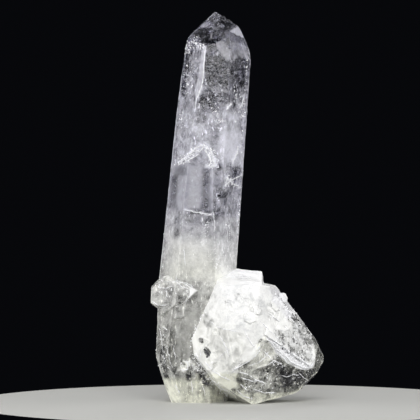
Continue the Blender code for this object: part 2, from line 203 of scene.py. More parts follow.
# Milky, clear and warm patches of the front, by their outlines as seen from there (x, z): the
# soft width of the border, and what each adds to the milkiness, frost, warmth and mottling.
PATCHES = {
    "tip": (((-14, 82.2), (-9, 82.4), (-6.6, 81.6), (-3.8, 83), (2.6, 83.2), (1, 88), (-4, 91),
        (-12, 88)), 1, -0.3, 0, -0.3, -0.5),
    "left face": (((-12.4, 80.8), (-8.6, 80.8), (-10.2, 69), (-13.6, 69)), 0.8, 0.04, 0, -0.3, 0.1),
    "tongue": (((-5.4, 81.9), (-4, 82.8), (-2.7, 82.6), (-1.8, 80.8), (-1.5, 78.4), (-2.7, 78.2),
        (-3.5, 79.5), (-4.5, 80.8)), 0.25, 0.2, 0.1, 0.3, -0.9),
    "shoulder": (((-1.9, 85.1), (-0.8, 86), (0.1, 86.5), (1.4, 85.1), (1.7, 83.8)),
        0.25, 0.75, 0.1, 0, 0),
    "steep face": (((-3.6, 84.6), (-1.9, 85.1), (1.7, 83.8), (2.6, 79.2), (-1.4, 79), (-2.2, 83)),
        0.8, 0.06, 0, -0.3, -0.3),
    "dark band": (((-10.9, 85.6), (-8.6, 85.9), (-5.8, 85.6), (-2.8, 85.6), (-3.2, 84), (-4.7, 83.1),
        (-7, 82.5), (-9.1, 83.8), (-11.2, 84)), 1.4, -0.95, 0, 0, 0),
    "dark tip": (((-3.7, 89.3), (-1.7, 88.4), (0.2, 87), (-0.6, 86.3), (-2.6, 85.4)),
        0.8, -1.1, 0, 0, 0.3),
    "tip peak": (((-6.4, 88.6), (-3.4, 90), (-2.6, 87.6), (-5, 86)), 1, -0.45, 0, 0, 0.3),
    "tip left": (((-9.6, 86), (-7.6, 87.6), (-6, 87), (-7, 85.8)), 0.8, 0.45, 0, 0, 0),
    "below tip": (((-11.4, 84.2), (-9.1, 83.4), (-7.2, 81.9), (-8.2, 80.6), (-12, 81.6)),
        0.5, 0.1, 0.1, 0, 0.7),
    "bevel": (((-8, 81.4), (-7.2, 81.7), (-7.4, 78.7), (-8, 74.8), (-8.3, 71.8), (-9, 69.5), (-9.6, 68.5),
        (-9.8, 71.3), (-9.2, 73.6), (-8.8, 75.9), (-8.4, 79)), 0.3, 0.34, 0.2, 0, -0.4),
    "left strip": (((-12.4, 81), (-11.2, 80.8), (-11.9, 70), (-13, 70)), 0.6, -0.3, 0, -0.5, 0),
    "top dark": (((-7.2, 78.2), (-3.5, 78.7), (-2.6, 75.9), (-3.1, 72.7), (-6.8, 73.2)),
        1.6, -0.26, 0, -0.9, -0.35),
    "right top dark": (((-2.1, 78.2), (2.2, 78.2), (2.2, 74.1), (0.6, 69.9), (-2.1, 71.3)),
        1.6, -0.2, 0, -0.9, -0.05),
    "smoke": (((-8, 70.5), (-1.6, 70.5), (-2, 68.6), (-7.6, 68.6)), 1.2, -0.26, 0, -0.6, 0),
    "mid mist": (((-14.2, 67), (1.4, 67), (0.9, 55), (-15, 55)), 5, 0.28, 0, 0, 0),
    "window": (((-15.4, 54.4), (-5.4, 54.4), (-5.8, 44), (-16.2, 44)), 1.2, 0.1, 0, -0.3, -0.6),
    "window top": (((-14.4, 54.2), (-11.6, 54.2), (-11.4, 52), (-14.6, 52)), 0.8, -0.22, 0, -0.6, 0),
    "column left": (((-15.2, 52), (-13.6, 52), (-14.2, 44.5), (-15.8, 44.5)), 0.9, -0.3, 0, -0.6, -0.3),
    "column light": (((-10.9, 54), (-8.3, 54), (-8.7, 44.5), (-11.6, 44.5)), 0.8, 0.12, 0, 0.4, -0.2),
    "column middle": (((-7.9, 53.6), (-6.3, 53.6), (-6.6, 44.5), (-8.2, 44.5)),
        0.9, -0.18, 0, -0.6, -0.3),
    "right mist": (((-3.4, 62), (1.4, 62), (1, 54.6), (-3.8, 55)), 2.5, 0.22, 0, 0, -0.3),
    "right low mist": (((-4, 37), (-0.3, 37), (-0.6, 27), (-5, 27)), 2, 0.32, 0, 0, 0),
    "mid veil": (((-14, 43), (-3, 43), (-3, 36), (-14, 36)), 2, 0.09, 0, 0, -0.2),
    "foot mist": (((-15, 21), (-9, 21), (-8, 11), (-14, 11)), 2.5, 0.09, 0, 0, -0.3),
    "dark triangle": (((-1.2, 53.8), (0.2, 54.2), (-0.1, 50.8), (-1.2, 51.2)), 0.5, -0.25, 0, -0.6, 0),
    "right dark": (((-5.4, 49.2), (0.9, 48.7), (0.6, 42.9), (-5.4, 42.9)), 1.6, -0.08, 0, -0.9, 0.1),
    "dark lens": (((-13.9, 45.2), (-13, 43.2), (-13.2, 38.1), (-14.4, 37.2), (-14.6, 41.3)),
        0.6, -0.28, 0, 0, 0),
    "low mist": (((-15.5, 38), (-6, 37), (-3, 28), (-16.5, 28)), 5, 0.34, 0, 0.3, -0.35),
    "left foot": (((-18.5, 22), (-15.5, 22), (-13.5, 8), (-15.5, 4), (-19, 8)), 1.2, -0.12, 0, 0, 0.1),
    "dark left": (((-17.8, 12.9), (-16.9, 12.9), (-15.8, 5.8), (-16.7, 5.8), (-17.6, 9)),
        0.7, -0.5, 0, 0, 0.3),
    "dark base": (((-11.8, 6.9), (-10.5, 6.9), (-10.5, 5.1), (-11.8, 5.1)), 0.4, -0.6, 0, 0, 0.5),
    "dark base right": (((-8.8, 7.2), (-7.7, 6.7), (-6.1, 4.2), (-7, 3.7), (-8.6, 5.3)),
        0.6, -0.7, 0, 0, 0.5),
    "bright base": (((-13.2, 9.6), (-11, 9.8), (-8.6, 8.6), (-9.2, 7.2), (-12.8, 7.2)),
        0.6, 0.25, 0.1, 0, 0.8),
    "base cream": (((-16, 5.5), (-8.6, 5.5), (-7.2, 3.5), (-3.5, 1.2), (-3.5, -0.2), (-15.5, -0.2),
        (-17.1, 4.8)), 1.8, 0.32, 0.1, 1.6, 0.1),
    "side crystal": (((-19.6, 27), (-16, 29), (-8.6, 27.4), (-10.5, 20), (-17, 20.5), (-20, 23)),
        0.6, 0, -0.2, 0, 0.15),
    "white front": (((-5, 27.5), (3.5, 27.2), (7, 24), (5, 15), (-3, 17.5)), 2, 0.12, 0, 0, -0.2),
    "pale": (((-7.7, 20.8), (-3.5, 17.3), (0.6, 16.4), (1.8, 12.9), (-1.2, 7.2), (-7.5, 6.7),
        (-10.5, 10.8), (-10.7, 15)), 0.6, -0.08, 0, 0.1, 0.3),
    "under": (((-7.5, 6.9), (0.2, 7.4), (1.6, 4), (0.5, -0.8), (-6.5, 1.5), (-9.5, 6.5)),
        0.8, 0.26, 0, 0.6, 0.4),
    "grey patch": (((-7.9, 20.3), (-6.8, 20.8), (-5.4, 19.2), (-5.6, 17.3), (-7.2, 17.8), (-8.1, 18.7)),
        0.4, -0.22, 0.1, 0, 0.7),
    "slope grey": (((7.1, 26.5), (10.3, 25.4), (12.6, 21.9), (13.6, 19.2), (11.2, 19.2), (8, 23.3)),
        0.8, 0, 0, -0.2, 0.3),
    "mottled edge": (((12, 20.4), (13.8, 19.8), (17, 15.9), (18.4, 13.4), (16, 13.2), (12.6, 17)),
        0.5, -0.32, -0.1, 0, 2),
    "plate face": (((8.5, 16.8), (12.6, 16.8), (17, 12.6), (17.4, 9.4), (15, 8.9), (9.6, 12.6)),
        0.5, -0.12, -0.1, 0, 1.5),
    "groove": (((7.8, 17.3), (9.9, 16.4), (13.6, 11.8), (14.9, 9.2), (12.2, 10.4), (8.9, 14.5)),
        0.6, -0.15, -0.1, 0, 0.8),
    # Painted light: the strip below the plate turns down into shade and is made milky to brighten it.
    "below strip": (((6.2, 15.8), (7.1, 14.3), (8.5, 11.6), (11.7, 9.2), (16.3, 7.5), (17, 8.6),
        (6.8, 15.8)), 0.4, 0.6, 0.1, -0.2, 0.7),
    "clear corner": (((0.2, 9.3), (2.5, 10.2), (4.2, 11.3), (4.3, 13.6), (5, 15), (6.2, 15.5),
        (7.1, 14.2), (8.5, 11.7), (10.3, 10.1), (11.9, 9.1), (13.8, 8.1), (15.7, 7.6), (17.5, 7.8),
        (17.9, 10.2), (17.7, 13.2), (17.2, 15.5), (20.5, 15.5), (21.9, 9.5), (18.6, 3.9), (12.2, -0.7),
        (0.6, -1.6), (-0.5, 1.8), (-1.9, 3.2), (-0.1, 4.6), (-0.3, 6.2)), 0.4, -1, -0.3, 0.3, 0.35),
    "clear upper": (((4.2, 13.6), (6.4, 15.4), (9, 11.4), (6, 8.6), (1.8, 8.6)), 1, 0.72, 0, 0, -0.3),
    "clear right": (((9.5, 9), (16, 7.6), (17.2, 7.2), (16, 4.6), (10, 3)), 1, -0.55, 0, 0, -0.5),
    "clear end": (((17.9, 13.2), (20.4, 13), (21, 9), (18.4, 4.2), (13.6, 1.4), (14.4, 3.6), (16.9, 6.6),
        (18, 8.6)), 0.8, 0.2, 0, 0, -0.9),
    "clear middle": (((0.5, 8.4), (6, 8.6), (9, 6), (8.4, 3), (1, 2.6)), 1.4, 0.34, 0, 0, 0.1),
    "lower rim": (((-0.5, 2), (4, 2.6), (12, 2.4), (18, 5), (18.6, 3.9), (12.2, -0.7), (0.6, -1.6)),
        0.8, 0.55, 0, 0.8, 0.3),
    "dark pit": (((-7.5, 13.2), (-6.5, 12.5), (-6.1, 11.8), (-7, 10.7), (-7.7, 11.8)),
        0.2, -1.6, -0.3, 0, 0),
    "small pit": (((-8.8, 14.9), (-7.9, 14.9), (-7.7, 14), (-8.6, 14)), 0.2, -1.2, -0.3, 0, 0),
}
# Bright seams and ridges of the front, among them painted highlights and painted light over shade,
# as marked below: the places that each runs through (x, z), its half width, how white it is, and
# how far it stands proud of the face.
SEAMS = {
    "window rim": (((-13.7, 54.9), (-11.8, 56.3), (-10.2, 57.5), (-8.4, 58.9), (-7, 58.2)),
        0.36, 0.9, 0.06),
    "window side": (((-7, 58.2), (-6.1, 57.5), (-5.4, 55.6), (-4.9, 54.2)), 0.42, 1, 0.06),
    "window foot": (((-7.2, 54), (-4.9, 54.2)), 0.34, 0.9, 0.06),
    "window inside": (((-7.4, 58), (-6.6, 56.6), (-6.2, 55.2)), 0.25, 0.6, 0.04),
    "inner rim": (((-13.2, 54.7), (-10.9, 55.6), (-8.8, 56.9)), 0.3, 0.7, 0.06),
    "window step": (((-12.2, 44.2), (-9.1, 43.6), (-6.3, 43), (-5.7, 43.5)), 0.28, 0.7, 0.06),
    "upright line": (((-5.8, 53.3), (-5.8, 46.4)), 0.22, 0.35, 0.03),
    "cross one": (((-3.1, 49.6), (-1.2, 51), (1.1, 52.2)), 0.35, 0.7, 0.04),
    "cross two": (((-2.6, 51.5), (-0.8, 50.1), (0.6, 49.4)), 0.35, 0.7, 0.04),
    "slanted veil": (((0.2, 57.9), (-1.4, 54.5)), 0.35, 0.45, 0.03),
    "short veil": (((-1.4, 68.5), (-2.4, 67.2)), 0.35, 0.5, 0.03),
    "tip edge": (((-5.8, 84.9), (-6.1, 83.3)), 0.22, 0.6, 0.03),
    # Painted highlight along the bevel, over a low ridge.
    "bevel": (((-7.3, 81.2), (-7.9, 75), (-8.4, 71.5), (-9.6, 68.4), (-9.6, 66.9)), 0.3, 0.7, 0.05),
    # Painted light over the crease under the plate, which lies in shade.
    "strip crease": (((6, 15.45), (10.1, 12.8), (14.2, 10.05), (16.6, 8.4)), 0.6, 1, 0),
    # Painted highlights: a bright line along the left outline, and a glint on the right.
    "left outline": (((-12.4, 81.2), (-14, 66), (-15.2, 54)), 0.3, 0.4, 0),
    "right glint": (((1.6, 70.4), (0.8, 67.6)), 0.3, 0.6, 0),
    "sparkling column": (((-7.7, 41.3), (-7.9, 36)), 0.6, 0.3, 0.04),
    "side crystal ridge": (((-16.7, 27.7), (-13.9, 27.9), (-12.1, 27), (-9.8, 25.6), (-11.4, 24.2),
        (-12.1, 23.1), (-12.3, 20.5)), 0.22, 0.3, 0.03),
    "second ridge": (((6.2, 15.5), (4.6, 13.2), (4.3, 12), (2.5, 10.4), (-0.1, 8.9), (-3.1, 6.7)),
        0.5, 0.6, 0.15),
    "strip rim": (((6.2, 15.8), (8.7, 12.7), (11.9, 9.5), (13.8, 8.3), (16.3, 7.8), (17.5, 9),
        (17.7, 11.8)), 0.7, 1, 0.12),
    "strip rim again": (((6.4, 15.2), (8.9, 12.2), (12.1, 9.2), (14, 8), (16.4, 7.6)), 0.4, 0.6, 0.05),
    "low ridge": (((-0.3, 7.6), (1.8, 7.2), (4.8, 5.3), (7.1, 4.2)), 0.35, 0.45, 0.12),
    "low crescent": (((4.1, 8.3), (6.4, 8.8), (8.7, 9.9)), 0.3, 0.35, 0.1),
    "low scratch": (((0.6, 4.8), (2.2, 3.2)), 0.25, 0.5, 0.06),
    "left streak": (((-17.1, 17.3), (-16, 16.6)), 0.3, 0.8, 0.05),
    "left streak low": (((-17.8, 14.5), (-17.1, 14.5)), 0.3, 0.8, 0.05),
    "ring": (((-12.5, 9), (-12.3, 9.7), (-11.4, 9.5), (-11.4, 7.8), (-12.3, 7.4), (-12.8, 8.3)),
        0.4, 0.8, 0.08),
}
# How far seams wander from their lines and over what size, the share of the half width that is
# fully white, what they add to the milk, and the least that they leave it at.
SEAM_WANDER = 0.7
SEAM_WANDER_SIZE = 1.3
SEAM_CORE = 0.25
SEAM_ADDS = 0.5
SEAM_LEAST = 0.6
# What mottling does: it strengthens the material's grain and the drifts, which are never weaker
# than the least share, and brings out spots and curds.
MOTTLING_GAIN = 1.3
DRIFTS_LEAST = 0.15
GRAIN_LIMITS = (0.3, 3.5)
GRAIN_LOST_LOW = 0.35
GRAIN_HEIGHTS = (32, 20)
SPOTS = 0.25
SPOT_SIZE = 0.8
SPOT_EDGES = (0.3, 0.7)
CURDS = 0.15
CURD_SIZE = 1.8
CURDS_FROM = (-0.3, 0.5)
# Painted light on the underside: between these heights, faces that turn down this much are made
# milkier to lighten their shade.
UNDERSIDE_PAINTED_LIGHT = 0.35
UNDERSIDE_HEIGHTS = (6, 2)
TO_BELOW = (0.1, 0.5)
# The milk of worn edges, partly wear and partly painted highlight: everywhere, behind the front,
# on the second and on the side crystal.
EDGE_WEAR_AND_HIGHLIGHT = 0.04
EDGE_WEAR_AND_HIGHLIGHT_BEHIND = 0.40
EDGE_WEAR_AND_HIGHLIGHT_SECOND = 0.30
EDGE_WEAR_AND_HIGHLIGHT_SIDE = 0.06
BEHIND = (-2.5, 0.5)
NOT_FRONT = (0.25, 0.5)
MILK_LIMITS = (-0.9, 1.2)
FROST_LIMITS = (0.02, 1.0)
# Relief in millimetres: etch marks and small steps on the second crystal, waves on the point,
# and how far the edges are worn. The etch marks fade on the brightest front, and the relief
# fades out above the flat foot.
RELIEF_ROUGH = 0.20
RELIEF_WAVED = 0.05
EDGE_WORN = 0.07
WORN_SIZE = 0.9
ETCH_SIZE = 1.3
WAVE_SIZE = 4.0
WAVE_SQUEEZED = (1.0, 1.0, 2.2)
STEP_SIZE = 2.8
STEP_SHARE = 0.6
STEP_LEVELS = 3
FRONT_SMOOTHER = 0.75
CAP_GROOVES = 1.5
SLOPE_GROOVES = 1.6
FLAT_FOOT = 0.6


def fine_copy(node, cell):
    """A copy of the node, merged and cut along level and upright planes into small cells."""
    mesh = bmesh.new()
    mesh.from_mesh(node.data)
    bmesh.ops.remove_doubles(mesh, verts=mesh.verts, dist=MERGED_WITHIN)
    bmesh.ops.dissolve_limit(mesh, angle_limit=math.radians(FLAT_DEGREES), verts=mesh.verts,
                             edges=mesh.edges)
    low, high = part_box(node.name)
    for axis in range(3):
        normal = [0.0, 0.0, 0.0]
        normal[axis] = 1.0
        for level in np.arange(low[axis] / MM + FIRST_CUT * cell, high[axis] / MM, cell):
            point = [0.0, 0.0, 0.0]
            point[axis] = level * MM
            everything = mesh.verts[:] + mesh.edges[:] + mesh.faces[:]
            bmesh.ops.bisect_plane(mesh, geom=everything, dist=CUT_WITHIN, plane_co=point, plane_no=normal)
    data = bpy.data.meshes.new("quartz_body")
    mesh.to_mesh(data)
    mesh.free()
    return data


def cloud(points, size, seed):
    """Smooth noise from 0 to 1: a lattice of random values, blended between its eight neighbours."""
    lattice = np.random.default_rng(seed).random((LATTICE, LATTICE, LATTICE))
    place = points / size + LATTICE_ENTRY
    corner = np.floor(place).astype(int)
    blend = place - corner
    blend = blend * blend * (3 - 2 * blend)
    total = np.zeros(len(points))
    for x in (0, 1):
        for y in (0, 1):
            for z in (0, 1):
                weight = np.ones(len(points))
                for axis, step in enumerate((x, y, z)):
                    weight = weight * (blend[:, axis] if step else 1 - blend[:, axis])
                spot = (corner + (x, y, z)) % LATTICE
                total += weight * lattice[spot[:, 0], spot[:, 1], spot[:, 2]]
    return total


def ramp(value, start, end):
    """0 at start and 1 at end, eased: thrice the share squared, less twice its cube."""
    share = np.clip((value - start) / (end - start), 0, 1)
    return share * share * (3 - 2 * share)


def facing(azimuth, rise):
    """The outward direction of a face: degrees round from the front, and up from level."""
    turn, tilt = math.radians(azimuth), math.radians(rise)
    return np.array((math.sin(turn) * math.cos(tilt), -math.cos(turn) * math.cos(tilt), math.sin(tilt)))


def to_line(flat, line):
    """Distance of each place to a line of straight stretches: the least over the stretches of the
    distance to the nearest point on each."""
    starts, ends = np.array(line[:-1]), np.array(line[1:])
    ways = ends - starts
    share = ((flat[:, None] - starts) * ways).sum(axis=2) / (ways * ways).sum(axis=1)
    nearest = starts + np.clip(share, 0, 1)[..., None] * ways
    return np.linalg.norm(flat[:, None] - nearest, axis=2).min(axis=1)


def within(flat, outline, soft):
    """1 inside the outline and 0 outside, eased over the soft width across the border. A place
    is inside if a line from it to the right crosses the outline an odd number of times."""
    ring = np.array(outline + outline[:1])
    (x0, z0), (x1, z1) = ring[:-1].T, ring[1:].T
    x, z = flat[:, 0:1], flat[:, 1:2]
    spans = (z0 > z) != (z1 > z)
    rise = np.where(z1 == z0, 1.0, z1 - z0)
    odd = (spans & (x < x0 + (z - z0) * (x1 - x0) / rise)).sum(axis=1) % 2 == 1
    away = to_line(flat, outline + outline[:1])
    return ramp(np.where(odd, away, -away), -soft / 2, soft / 2)


def vertex_values(collection, field, width):
    """One property of a whole mesh collection as an array."""
    values = np.empty(len(collection) * width, np.float32)
    collection.foreach_get(field, values)
    return values.reshape(-1, width).astype(float)


def noise(points, size, seed):
    """Smooth noise from -0.5 to 0.5: the cloud less a half."""
    return cloud(points, size, seed) - 0.5


body_mesh = fine_copy(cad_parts["quartz"], CELL)
body_mesh.set_sharp_from_angle(angle=math.radians(SHARP_EDGE))
places = vertex_values(body_mesh.vertices, "co", 3) / MM
normals = vertex_values(body_mesh.vertex_normals, "vector", 3)
edge_ends = vertex_values(body_mesh.edges, "vertices", 2).astype(int)
sharp = np.zeros(len(body_mesh.edges), bool)
body_mesh.attributes["sharp_edge"].data.foreach_get("value", sharp)
edge = np.zeros(len(places))
edge[edge_ends[sharp].ravel()] = 1.0

height = places[:, 2]
flat = places[:, [0, 2]]
# How much each place is of another crystal than the point: its distance outside the point's
# sides, the greatest over them, eased from 0 to 1.
outside = np.max([(places - through) @ facing(azimuth, rise)
                  for azimuth, rise, through in POINT_SIDES], axis=0)
grown_on = ramp(outside, *OUTSIDE_POINT) * (height < OTHERS_TOP)
second = grown_on * (places[:, 0] > CRYSTALS_MEET)
side = grown_on - second
in_front = ramp(-normals[:, 1], *TO_FRONT)
turned_away = ramp(normals[:, 1], *TO_BACK)
brightest = within(flat, PATCHES["white front"][0], BRIGHTEST_SOFT) * in_front

# Growth streaks each way, and where the level and sloping ones are.
upright = noise(places * UPRIGHT_STREAKS, 1.0, 15)
level = noise((places + np.array(LEVEL_TILT) * places[:, 0:1]) * LEVEL_STREAKS, 1.0, 11)
across = places[:, 0] * SLOPE_FACES[0] + places[:, 2] * SLOPE_FACES[1]
along = places[:, 0] * SLOPE_FACES[1] - places[:, 2] * SLOPE_FACES[0]
sloping = noise(np.stack((across, places[:, 1], along), axis=1) * SLOPING_STREAKS, 1.0, 12)
cap = ramp(height, *CAP_STARTS)
on_slope = (1 - cap) * ramp(across, *SLOPE_STARTS)

# How milky: the point is clear at the tip and cloudy near the foot, the second crystal white.
mist = MIST + MIST_ASLANT * ramp(np.abs(normals[:, 1]), *ASLANT)
for start, end, added in MIST_BY_HEIGHT:
    mist += added * ramp(height, start, end)
drifts = (UPRIGHT_DRIFTS + FOOT_DRIFTS * ramp(height, *FOOT)) * upright
for strength, size, seed in MIST_DRIFTS:
    drifts += strength * noise(places, size, seed)
white = WHITE - WHITE_UNEVEN * noise(places, WHITE_SIZE, 4) - WHITE_BACK * turned_away
white += WHITE_CAP * level * cap + WHITE_SLOPE * sloping * on_slope
milk = mist * (1 - second) + white * second
streaked = np.abs(level) * cap + np.abs(sloping) * on_slope
grey = second * (GREY + GREY_FRONT * brightest + GREY_STREAKS * streaked)
frost = FROST + FROST_SECOND * second + FROST_SIDE * side
warmth = ramp(height, *WARM_HEIGHTS) * (1 - WARM_LOST * second)
mottling = MOTTLED_BACK + MOTTLED_SECOND * second + MOTTLED_FOOT * ramp(height, *MOTTLED_HEIGHTS)
mottling *= turned_away
for outline, soft, more_milk, more_frost, more_warmth, more_mottled in PATCHES.values():
    inside = within(flat, outline, soft) * in_front
    milk += inside * more_milk
    mottling += inside * more_mottled
    frost += inside * more_frost
    warmth += inside * more_warmth

# Seams, mottling, painted light on the underside, and worn edges with their painted highlights,
# each over what is there.
ridges = np.zeros(len(places))
wander = np.stack([noise(places, SEAM_WANDER_SIZE, seed) for seed in (8, 9)], axis=1) * SEAM_WANDER
for line, half, whiteness, proud in SEAMS.values():
    near_line = ramp(to_line(flat + wander, line), half, SEAM_CORE * half) * in_front
    seam_milk = near_line * whiteness
    milk = np.maximum(milk + SEAM_ADDS * seam_milk, SEAM_LEAST * seam_milk)
    ridges = np.maximum(ridges, near_line * proud)
milk += drifts * np.clip(1 + MOTTLING_GAIN * mottling, DRIFTS_LEAST, 1.0) * (1 - second)
spotty = ramp(cloud(places, SPOT_SIZE, 13), *SPOT_EDGES) - 0.5
milk += SPOTS * np.maximum(mottling, 0) * spotty
milk += CURDS * ramp(mottling, *CURDS_FROM) * noise(places, CURD_SIZE, 14)
# Painted light: downward faces near the foot are made milkier to lighten their shade.
milk += UNDERSIDE_PAINTED_LIGHT * ramp(height, *UNDERSIDE_HEIGHTS) * ramp(-normals[:, 2], *TO_BELOW)
behind = ramp(places[:, 1], *BEHIND) * (1 - ramp(-normals[:, 1], *NOT_FRONT))
# Worn edges are whitened, partly as wear and partly as painted highlights.
milk += edge * (EDGE_WEAR_AND_HIGHLIGHT + EDGE_WEAR_AND_HIGHLIGHT_BEHIND * behind + EDGE_WEAR_AND_HIGHLIGHT_SECOND * second * (1 - brightest)
                + EDGE_WEAR_AND_HIGHLIGHT_SIDE * side)
grain_lost = GRAIN_LOST_LOW * ramp(height, *GRAIN_HEIGHTS) * (1 - second)
painted = {
    "milk": np.clip(milk, *MILK_LIMITS),
    "frost": np.clip(frost, *FROST_LIMITS),
    "warmth": WARMEST * warmth,
    "dim": grey + GREY_MOTTLED * second * np.clip(mottling, 0, 1),
    "grainy": np.clip(1 + MOTTLING_GAIN * mottling - grain_lost, *GRAIN_LIMITS),
}
for name, values in painted.items():
    layer = body_mesh.attributes.new(name, "FLOAT", "POINT")
    layer.data.foreach_set("value", values.astype(np.float32))

# Relief: the second crystal is rough with etch marks and small steps, the point gently waved.
steps = np.round(STEP_LEVELS * cloud(places, STEP_SIZE, 6)) / STEP_LEVELS - 0.5
rough = (1 - FRONT_SMOOTHER * brightest) * (noise(places, ETCH_SIZE, 5) + STEP_SHARE * steps)
rough += CAP_GROOVES * level * cap + SLOPE_GROOVES * sloping * on_slope
waved = noise(places * WAVE_SQUEEZED, WAVE_SIZE, 7)
relief = RELIEF_ROUGH * rough * np.maximum(second, side) + RELIEF_WAVED * waved + ridges
relief -= EDGE_WORN * edge * cloud(places, WORN_SIZE, 10)
places += normals * (relief * ramp(height, 0.0, FLAT_FOOT))[:, None]
body_mesh.vertices.foreach_set("co", (places * MM).astype(np.float32).ravel())
body = placed("quartz_body", body_mesh)

# The glass: its colours, how deep its milk glows, and its noises (scale, detail, roughness and
# distortion), with what each is stretched from and to (low, high, new low, new high).
QUARTZ_IOR = 1.544
COOL_QUARTZ = (0.832, 0.828, 0.935, 1)
WARM_QUARTZ = (0.92, 0.92, 0.80, 1)
GREY_QUARTZ = (0.30, 0.31, 0.33, 1)
GLOW_DEPTH = 0.12
WISPS = (480.0, 8.0, 0.8, 0.3)
VEILS = (0.38, 0.66, -0.32, 0.30)
UNEVEN = (0.42, 0.60, -0.2, 2.2)
SPARKLES = (1900.0, 4.0, 0.75, 0.2)
SPARKLE = (0.60, 0.66, 0.0, 1.1)
SLENDER = (1.0, 1.0, 0.3)
SLENDER_TURN = (0.0, 0.2, 0.0)
PITTING = (1500.0, 4.0, 0.6, 0.0)
PITTING_DEPTH = 0.12
PITTING_STRENGTH = 0.6


def feed(material, socket, value):
    """Give an input its value, or join another node's output to it."""
    if isinstance(value, bpy.types.NodeSocket):
        material.node_tree.links.new(value, socket)
    else:
        socket.default_value = value


def add_node(material, kind, **inputs):
    """A node of that kind, with its inputs fed by name."""
    node = material.node_tree.nodes.new(kind)
    for socket, value in inputs.items():
        feed(material, node.inputs[socket.replace("_", " ")], value)
    return node


def calculate(material, operation, first, second, limited=False):
    """The sum, difference or product of two values, held between 0 and 1 if limited."""
    node = add_node(material, "ShaderNodeMath")
    node.operation = operation
    node.use_clamp = limited
    feed(material, node.inputs[0], first)
    feed(material, node.inputs[1], second)
    return node.outputs["Value"]


def speckle(material, place, kind):
    """Noise of that kind at each place."""
    scale, detail, roughness, distortion = kind
    return add_node(material, "ShaderNodeTexNoise", Vector=place, Scale=scale, Detail=detail,
                    Roughness=roughness, Distortion=distortion).outputs["Fac"]


def stretch(material, value, bounds):
    """The value, with the first two of the bounds made the last two."""
    low, high, new_low, new_high = bounds
    return add_node(material, "ShaderNodeMapRange", Value=value, From_Min=low, From_Max=high,
                    To_Min=new_low, To_Max=new_high).outputs["Result"]


def blend_colors(material, share, first, second):
    """The first colour times what the share leaves of 1, plus the second times the share."""
    node = add_node(material, "ShaderNodeMix")
    node.data_type = "RGBA"
    for socket, value in (("Factor", share), ("A", first), ("B", second)):
        feed(material, node.inputs[socket], value)
    return node.outputs["Result"]


def quartz_glass():
    """Quartz: its haze is the milk plus the grain's strength times veils and sparkle, and what
    the haze leaves of 1 is let through. Its colour is the tint, greyed where it is dim."""
    glass = bpy.data.materials.new("clear_quartz")
    glass.use_nodes = True
    place = add_node(glass, "ShaderNodeTexCoord").outputs["Object"]
    levels = {}
    for name in painted:
        reader = add_node(glass, "ShaderNodeAttribute")
        reader.attribute_name = name
        levels[name] = reader.outputs["Fac"]

    wisps = speckle(glass, place, WISPS)
    slender = add_node(glass, "ShaderNodeMapping", Vector=place, Scale=SLENDER, Rotation=SLENDER_TURN)
    sparkle = stretch(glass, speckle(glass, slender.outputs["Vector"], SPARKLES), SPARKLE)
    grain = calculate(glass, "ADD", stretch(glass, wisps, VEILS), sparkle)
    grain = calculate(glass, "MULTIPLY", grain, levels["grainy"])
    haze = calculate(glass, "ADD", levels["milk"], grain, limited=True)
    tint = blend_colors(glass, levels["warmth"], COOL_QUARTZ, WARM_QUARTZ)
    greyness = calculate(glass, "MULTIPLY", levels["dim"], stretch(glass, wisps, UNEVEN))
    pitted = add_node(glass, "ShaderNodeBump", Height=speckle(glass, place, PITTING),
                      Strength=PITTING_STRENGTH, Distance=PITTING_DEPTH * MM)
    finish = {
        "IOR": QUARTZ_IOR,
        "Subsurface Weight": 1.0,
        "Subsurface Radius": (1.0, 1.0, 1.0),
        "Subsurface Scale": GLOW_DEPTH * MM,
        "Transmission Weight": calculate(glass, "SUBTRACT", 1.0, haze),
        "Roughness": levels["frost"],
        "Base Color": blend_colors(glass, greyness, tint, GREY_QUARTZ),
        "Normal": pitted.outputs["Normal"],
    }
    for socket, value in finish.items():
        feed(glass, glass.node_tree.nodes["Principled BSDF"].inputs[socket], value)
    return glass


body_mesh.materials.append(quartz_glass())
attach(body, "root")
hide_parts("quartz")


# Crests: fine bright ridges where growth steps meet. They are of the same quartz, frosted white
# along their backs, and grew on its faces. Each is a tube of this many corners round, with a ring
# at every step along it, and none has fewer rings than the least.
CREST_STEP = 0.22
CREST_CORNERS = 5
LEAST_RINGS = 4
# How far a crest strays, as a walk along it and at each place; how quickly its ends taper and
# from what share; how uneven its width is; and how far its middle stands out of the face.
CREST_WALK = 0.045
CREST_SHAKE = 0.018
CREST_TAPER = 6
CREST_TIP = 0.15
CREST_UNEVEN = (0.35, 1.25)
CREST_OUT = 0.02
CREST_WHITE = (0.95, 0.955, 0.98, 1)
CREST_ROUGHNESS = 0.25
CREST_CLEAR = 0.15
# Depth is found for so many places at once, without triangles of less area from the front.
AT_ONCE = 1000
EDGE_ON = 1e-9
# The seams above have crests of this share of their half width, apart from the soft ones.
# The crests on the bevel, the strip crease and the right glint carry their painted light too.
SEAM_SHARE = 0.42
SOFT_SEAMS = ("left outline", "upright line", "sparkling column", "tip edge")
